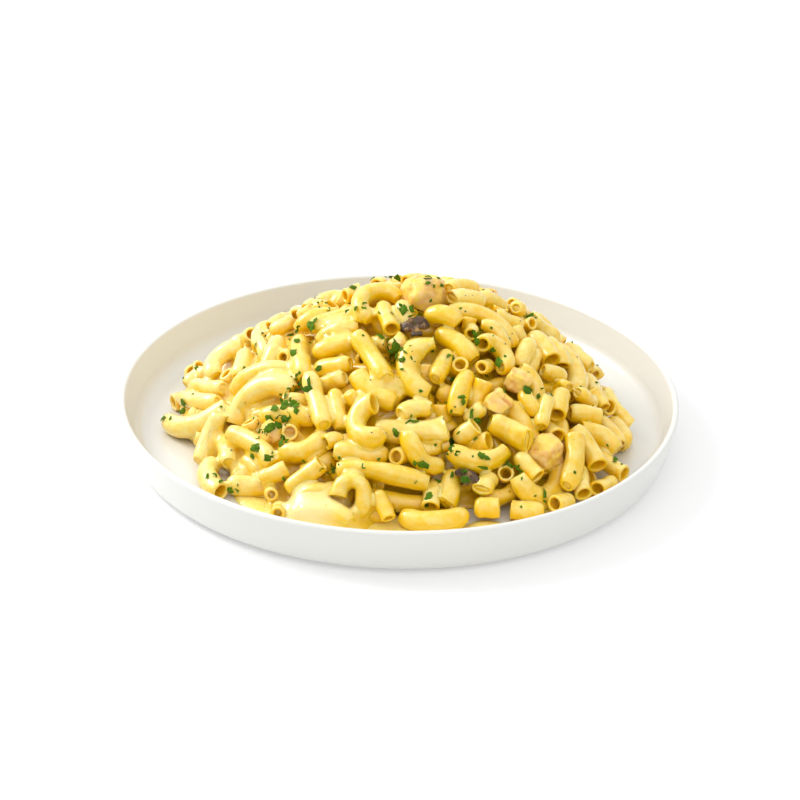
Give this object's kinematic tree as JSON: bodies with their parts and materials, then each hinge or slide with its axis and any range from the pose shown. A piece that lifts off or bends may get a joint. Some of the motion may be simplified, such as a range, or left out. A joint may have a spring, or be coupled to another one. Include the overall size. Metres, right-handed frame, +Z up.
{
  "type": "plate of creamy chicken pasta",
  "caption": "Low-walled round white plate with a tall heap of curved tube noodles in cream sauce, diced chicken, mushroom slices and chopped parsley.",
  "frame": {"origin": "middle of the plate's foot, on the surface it stands on", "axes": "+Z up out of the plate, -Y towards the eater, +X to the eater's right"},
  "size_m": [0.27, 0.27, 0.0812],
  "materials": {
    "glaze": "satin white glaze",
    "noodle": "cooked pasta, moist, pale yellow",
    "sauce": "cream sauce, soft gloss",
    "chicken": "cooked chicken breast, fibrous, moist",
    "mushroom": "cooked brown mushroom, moist",
    "parsley": "chopped leaf, dark green"
  },
  "bodies": {
    "root": {"plate": "glaze", "pasta_heap": "noodle", "chicken_1": "chicken", "chicken_2": "chicken", "chicken_3": "chicken", "chicken_4": "chicken", "chicken_5": "chicken", "chicken_6": "chicken", "chicken_7": "chicken", "chicken_8": "chicken", "chicken_9": "chicken", "mushroom_1": "mushroom", "mushroom_2": "mushroom", "mushroom_3": "mushroom"}
  },
  "joints": []
}
